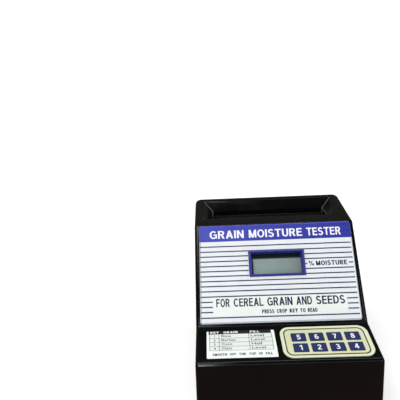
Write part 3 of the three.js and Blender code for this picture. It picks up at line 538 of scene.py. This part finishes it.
def slab(polys, t):
    """Closed plate, t thick, over the union of flat polygons."""
    verts, faces = [], []
    for p in polys:
        area_ = sum(p[i - 1][0] * p[i][1] - p[i][0] * p[i - 1][1] for i in range(len(p)))
        pts = p if area_ > 0 else list(reversed(p))
        faces.append(list(range(len(verts), len(verts) + len(pts))))
        verts += [Vector(q) for q in pts]
    vs, es, fs, ov, oe, of = delaunay_2d_cdt(verts, [], faces, 0, 1e-5)
    tri = [f for f, src in zip(fs, of) if src]
    bm = bmesh.new()
    up = [bm.verts.new((v.x, v.y, t / 2)) for v in vs]
    dn = [bm.verts.new((v.x, v.y, -t / 2)) for v in vs]
    count = {}
    for f in tri:
        bm.faces.new([up[i] for i in f])
        bm.faces.new([dn[i] for i in reversed(f)])
        for i in range(len(f)):
            e = (f[i - 1], f[i])
            count[e] = count.get(e, 0) + 1
    for a, b in count:
        if (b, a) not in count:
            bm.faces.new([up[b], up[a], dn[a], dn[b]])
    bmesh.ops.delete(bm, geom=[v for v in bm.verts if not v.link_faces], context="VERTS")
    bmesh.ops.dissolve_limit(bm, angle_limit=math.radians(0.5), verts=bm.verts, edges=bm.edges)
    mesh = bpy.data.meshes.new("slab")
    bm.to_mesh(mesh)
    bm.free()
    return mesh


def capitals(name, text, u0, u1, v0, v1, n0, t, matrix, material, body="case", w=0.2, h=0.16, gap=0.12, word=0.34, fit=True):
    """Plain capitals and digits that fill the rectangle u0..u1, v0..v1 (mm)."""
    polys, x = [], 0.0
    for ch in text:
        if ch == " ":
            x += word
            continue
        shapes, adv = glyph(ch, w, h)
        polys += [[(px + x, py) for px, py in p] for p in shapes]
        x += adv + gap
    xs = [q[0] for p in polys for q in p]
    sy = v1 - v0
    sx = (u1 - u0) / (max(xs) - min(xs)) if fit else sy
    cx = (max(xs) + min(xs)) / 2
    flat = [[((px - cx) * sx + (u0 + u1) / 2, py * sy + v0) for px, py in p] for p in polys]
    return mesh_piece(name, slab(flat, t), matrix @ Matrix.Translation((0, 0, n0 + t / 2)), material, body)


# display film on the slope; the film's top is 0.40 mm off the panel
F0 = 0.405
V0, V1 = 2.2, 101.4
BAND_V = 84.5


def side(v, left):
    """The film's edge at height v: its sides close in a little towards the rear."""
    t = (v - V0) / (V1 - V0)
    return -79.3 + 1.6 * t if left else 78.2 + 0.7 * t


def taper_loop(i0, i1, v0, v1, r, corners):
    """Rounded loop inset i0 from the film's left side and i1 from its right side."""
    a, b = side(V0, True), side(V0, False)
    return [(u + (side(v, True) - a) * (u < 0) + (side(v, False) - b) * (u > 0), v)
            for u, v in rrect(a + i0, b - i1, v0, v1, r, 6, corners)]



inked("title_band", [taper_loop(0.05, 0.05, BAND_V, V1 - 0.9, 2.0, (1, 1, 0, 0))], F0, 0.03, SLOPE, MAT["ink_blue"])
# lighter blue strip along the band's top and upper sides: painted highlight where the film bends over the slope's
# rounded top edge
inked("title_band_painted_top_highlight", [taper_loop(0.05, 0.05, V1 - 3.2, V1 - 0.05, 2.4, (1, 1, 0, 0)), taper_loop(0.35, 0.35, V1 - 3.15, V1 - 0.9, 2.0, (1, 1, 0, 0))],
      F0, 0.025, SLOPE, MAT["blue_painted_highlight"])
T0 = F0 + 0.035
for word, a, b in (("GRAIN", -67.2, -31.6), ("MOISTURE", -26.4, 28.8), ("TESTER", 33.4, 68.4)):
    capitals("title_" + word.lower(), word, a, b, 87.7, 96.0, T0, 0.03, SLOPE, MAT["ink_white"], w=0.205, h=0.165, gap=0.11)

# the lower lines of print sit on a slightly warmer patch; the film's rim is painted greyer than its face, as painted
# shade along the film's edges
inked("film_patch", [rect(-65.6, 65.6, 9.6, 28.6)], F0, 0.015, SLOPE, MAT["film_patch"])
# grey ring along the film's sides and bottom: painted shade at the film's edges
inked("film_edge_painted_shade", [taper_loop(0.05, 0.05, V0 + 0.05, BAND_V - 0.05, 2.2, (0, 0, 1, 1)), taper_loop(1.5, 0.6, V0 + 1.5, BAND_V - 0.1, 1.6, (0, 0, 1, 1))],
      F0, 0.015, SLOPE, MAT["film_edge_painted_shade"])
stripe = []
BZ = (-28.75, 28.95, 47.0, 73.9)   # the frame round the window stands over this part of the film
for i, v in enumerate((79.2, 73.9, 68.8, 63.75, 58.7, 53.65, 48.65, 43.65, 38.65, 33.6, 28.2 + 0.2, 23.25, 18.3, 13.4, 8.0)):
    h = 0.59
    SA, SB = side(v, True) + 0.5, side(v, False) - 1.5
    runs = [(SA, SB)]
    if BZ[2] < v < BZ[3]:
        runs = [(SA, BZ[0]), (BZ[1], SB)]
    if i == 4:
        runs = [(SA, BZ[0]), (BZ[1], 30.9), (72.6, SB)]
    if i in (11, 12, 13):
        runs = [(SA, -66.4), (66.2, SB)]
    for a, b in runs:
        stripe.append(rect(a, b, v - h, v + h))
inked("film_stripes", stripe, F0 + 0.017, 0.02, SLOPE, MAT["ink_line"])
capitals("unit_percent", "%", 32.4, 37.4, 56.5, 61.3, F0, 0.03, SLOPE, MAT["ink_text"], w=0.22, h=0.19)
capitals("unit_moisture", "MOISTURE", 39.6, 70.9, 56.5, 61.2, F0, 0.03, SLOPE, MAT["ink_text"], w=0.24, h=0.2, gap=0.11)
for word, a, b in (("FOR", -63.0, -49.6), ("CEREAL", -45.6, -16.2), ("GRAIN", -12.4, 12.4), ("AND", 16.2, 31.6), ("SEEDS", 35.8, 63.8)):
    capitals("line_" + word.lower(), word, a, b, 18.2, 26.2, F0 + 0.017, 0.03, SLOPE, MAT["ink_text"], w=0.21, h=0.17, gap=0.1)
for word, a, b in (("PRESS", -18.2, -6.2), ("CROP", -3.8, 6.4), ("KEY", 8.8, 16.8), ("TO", 19.2, 24.4), ("READ", 26.6, 36.0)):
    capitals("small_" + word.lower(), word, a, b, 11.0, 14.7, F0 + 0.017, 0.03, SLOPE, MAT["ink_text"], w=0.27, h=0.22, gap=0.1)

# keypad: border, outline, field and digits; the sheet's top is 0.85 mm off the step
K0 = 0.855
KU0, KU1, KV0, KV1 = -3.9, 78.5, -42.3, -4.9
keys = []
for i in range(1, 9):
    col, row = (i - 1) % 4, 0 if i > 4 else 1
    u0, w0 = 6.05 + col * 16.73, 13.3 + row * 12.8
    keys.append((i, u0, u0 + 13.45, -(w0 + 10.0), -w0))
inset = (-0.8, KU1 - 3.6, -40.0, -7.6)
inked("keypad_border", [rrect(KU0 + 0.35, KU1 - 0.35, KV0 + 0.35, KV1 - 0.35, 8.65), rrect(*inset, 5.8)], K0, 0.02, STEP, MAT["keypad_rim"])
line = 1.1
inked("keypad_outline", [rrect(*inset, 5.8), rrect(inset[0] + line, inset[1] - line, inset[2] + line * 1.1, inset[3] - line * 1.1, 4.9)], K0, 0.03, STEP, MAT["ink_grey"])
KEY_TOP = 0.05 + 0.8 + 0.4 + 0.005
for i, a, b, c, d in keys:
    cu, cv = (a + b) / 2, (c + d) / 2
    capitals(f"digit_{i}", str(i), cu - 2, cu + 2, cv - 2.9, cv + 2.9, KEY_TOP, 0.03, STEP, MAT["ink_white"],
             body=f"key_{i}_body", w=0.19, h=0.16, fit=False)

# crop chart on the left of the step; its top is 0.30 mm off the step
C0 = 0.305
inked("chart_field", [rect(-70.6, -11.6, -31.4, -10.9)], C0, 0.015, STEP, MAT["field"])
inked("chart_header", [rect(-71.4, -11.8, -10.9, -6.55)], C0, 0.02, STEP, MAT["ink_black"])
rows = [-10.9, -16.1, -21.2, -26.2, -31.2]
cols = [-61.6, -33.4]
inked("chart_rows", [rect(-70.6, -11.6, v - 0.16, v + 0.16) for v in rows[1:]], C0 + 0.018, 0.012, STEP, MAT["ink_soft"])
inked("chart_columns", [rect(u - 0.2, u + 0.2, -31.2, -10.95) for u in [-70.5] + cols + [-11.7]], C0 + 0.032, 0.01, STEP, MAT["ink_soft"])
for n, (word, a, b) in enumerate((("KEY", -69.8, -61.6), ("GRAIN", -57.2, -43.6), ("FILL", -31.8, -22.6))):
    capitals(f"chart_head_{n + 1}", word, a, b, -9.9, -7.3, C0 + 0.022, 0.02, STEP, MAT["ink_white"], w=0.24, h=0.2, gap=0.16)
crops = (("Rice", 9.2), ("Barley", 13.6), ("Corn", 9.8), ("Oats", 9.4))
fills = (("Level", 12.4), ("Level", 12.4), ("Half", 10.2), ("Level", 12.4))
for n in range(4):
    v1 = rows[n] - 1.0
    v0 = rows[n + 1] + 1.3
    lettering(f"chart_key_{n + 1}", str(n + 1), -67.0, -64.8, v0, v1, C0 + 0.018, 0.02, STEP, MAT["ink_soft"], bold=0.012, fit=False)
    lettering(f"chart_crop_{n + 1}", crops[n][0], -59.4, -59.4 + crops[n][1], v0 - (0.5 if "y" in crops[n][0] else 0), v1, C0 + 0.018, 0.02, STEP, MAT["ink_soft"], bold=0.012)
    lettering(f"chart_fill_{n + 1}", fills[n][0], -31.4, -31.4 + fills[n][1], v0, v1, C0 + 0.018, 0.02, STEP, MAT["ink_soft"], bold=0.012)
for word, a, b in (("SMOOTH", -68.0, -55.0), ("OFF", -52.4, -46.6), ("THE", -44.0, -37.6), ("TOP", -35.0, -28.6), ("OF", -26.0, -22.4), ("FILL", -19.8, -13.4)):
    capitals("chart_note_" + word.lower(), word, a, b, -37.2, -34.4, C0 + 0.004, 0.02, STEP, MAT["ink_black"], w=0.25, h=0.2, gap=0.12)

# ------------------------------------------------------------------ floor, light, camera
FLOOR_GLOW = 0.34


def floor_material():
    """Plain pale sweep: a light surface that also glows a little, so it reads as an even white ground."""
    m, nt, b, co = new_mat("floor_pale")
    tone = mix(nt, remap(nt, noise(nt, co, 3.0), 0.3, 0.7), (0.86, 0.86, 0.86, 1), (0.88, 0.88, 0.88, 1))
    nt.links.new(tone, b.inputs["Base Color"])
    b.inputs["Roughness"].default_value = 0.9
    b.inputs["Specular IOR Level"].default_value = 0.1
    b.inputs["Emission Color"].default_value = (1, 1, 1, 1)
    b.inputs["Emission Strength"].default_value = FLOOR_GLOW
    return m


fm = bpy.data.meshes.new("floor")
fm.from_pydata([(-60, -60, 0), (60, -60, 0), (60, 60, 0), (-60, 60, 0)], [], [(0, 1, 2, 3)])
floor = bpy.data.objects.new("floor", fm)
scene.collection.objects.link(floor)
fm.materials.append(floor_material())
floor.visible_glossy = False
floor.visible_diffuse = False

# soft white room for the camera and for diffuse light; what the gloss mirrors is a dim room with a brownish front
world = bpy.data.worlds.new("studio")
scene.world = world
world.use_nodes = True
wn = world.node_tree
wn.nodes.clear()
out = wn.nodes.new("ShaderNodeOutputWorld")
lp = wn.nodes.new("ShaderNodeLightPath")
geo = wn.nodes.new("ShaderNodeTexCoord")
sep = wn.nodes.new("ShaderNodeSeparateXYZ")
wn.links.new(geo.outputs["Generated"], sep.inputs[0])


def background(color, strength):
    n = wn.nodes.new("ShaderNodeBackground")
    n.inputs["Color"].default_value = (*color, 1)
    n.inputs["Strength"].default_value = strength
    return n


def blend(fac, a, b):
    n = wn.nodes.new("ShaderNodeMixShader")
    wn.links.new(fac, n.inputs[0])
    wn.links.new(a.outputs[0], n.inputs[1])
    wn.links.new(b.outputs[0], n.inputs[2])
    return n


soft = background((1.0, 1.0, 1.0), 0.84)
seen = background((1.0, 1.0, 1.0), 1.1)
front = background((0.145, 0.092, 0.078), 1.0)
above = background((0.010, 0.012, 0.013), 1.0)
behind = background((0.115, 0.108, 0.088), 1.0)
up = remap(wn, sep.outputs["Z"], 0.05, 0.5)
rear = remap(wn, sep.outputs["Y"], 0.2, 0.7)
mirror = blend(up, front, above)
mirror = blend(rear, mirror, blend(remap(wn, sep.outputs["Z"], 0.62, 0.85), behind, above))
day = blend(lp.outputs["Is Camera Ray"], soft, seen)
wn.links.new(blend(lp.outputs["Is Glossy Ray"], day, mirror).outputs[0], out.inputs[0])


def area(name, loc, target, size, power, color=(1, 1, 1), diffuse=True, spread=None):
    l = bpy.data.lights.new(name, "AREA")
    l.shape = "RECTANGLE"
    l.size, l.size_y = size
    l.energy = power
    l.color = color
    o = bpy.data.objects.new(name, l)
    scene.collection.objects.link(o)
    o.location = loc
    o.rotation_euler = (Vector(target) - Vector(loc)).to_track_quat("-Z", "Y").to_euler()
    o.visible_diffuse = diffuse
    return o


area("key_light", (-0.5, -0.35, 1.25), (0, 0, 0.08), (0.7, 0.5), 5.0)
area("fill_light", (1.1, -0.9, 0.9), (0, 0, 0.08), (0.6, 0.6), 1.6)
# dim soft box in front: the line along the front edge; brighter at its left end
area("front_box", (0.1, -1.2, 0.98), (0, -0.05, 0.12), (1.5, 0.35), 1.1, (0.9, 0.95, 1.0), False)
area("front_left_box", (-0.45, -1.15, 0.95), (-0.05, -0.05, 0.12), (0.35, 0.4), 6.0, (0.95, 0.97, 1.0), False)
# narrow strip overhead: the line along the rear rim
area("top_strip", (0.0, 0.25, 1.2), (0, 0.05, 0.15), (1.4, 0.12), 2.0, (0.9, 0.95, 1.0), False)

cam_data = bpy.data.cameras.new("camera")
cam_data.sensor_width = 36.0
cam_data.sensor_fit = "HORIZONTAL"
cam_data.lens = 39.90
cam_data.clip_start = 0.01
cam = bpy.data.objects.new("camera", cam_data)
scene.collection.objects.link(cam)
right = Vector((0.998769, 0.013122, -0.047832))
upv = Vector((0.039476, 0.373555, 0.926768))
fwd = Vector((-0.030029, 0.927515, -0.372578))
cam.matrix_world = Matrix((
    (right.x, upv.x, -fwd.x, -0.06181),
    (right.y, upv.y, -fwd.y, CREASE_Y - 0.356647),
    (right.z, upv.z, -fwd.z, CREASE_Z + 0.277313),
    (0, 0, 0, 1),
))
scene.camera = cam
scene.view_settings.view_transform = "Standard"
scene.view_settings.look = "None"
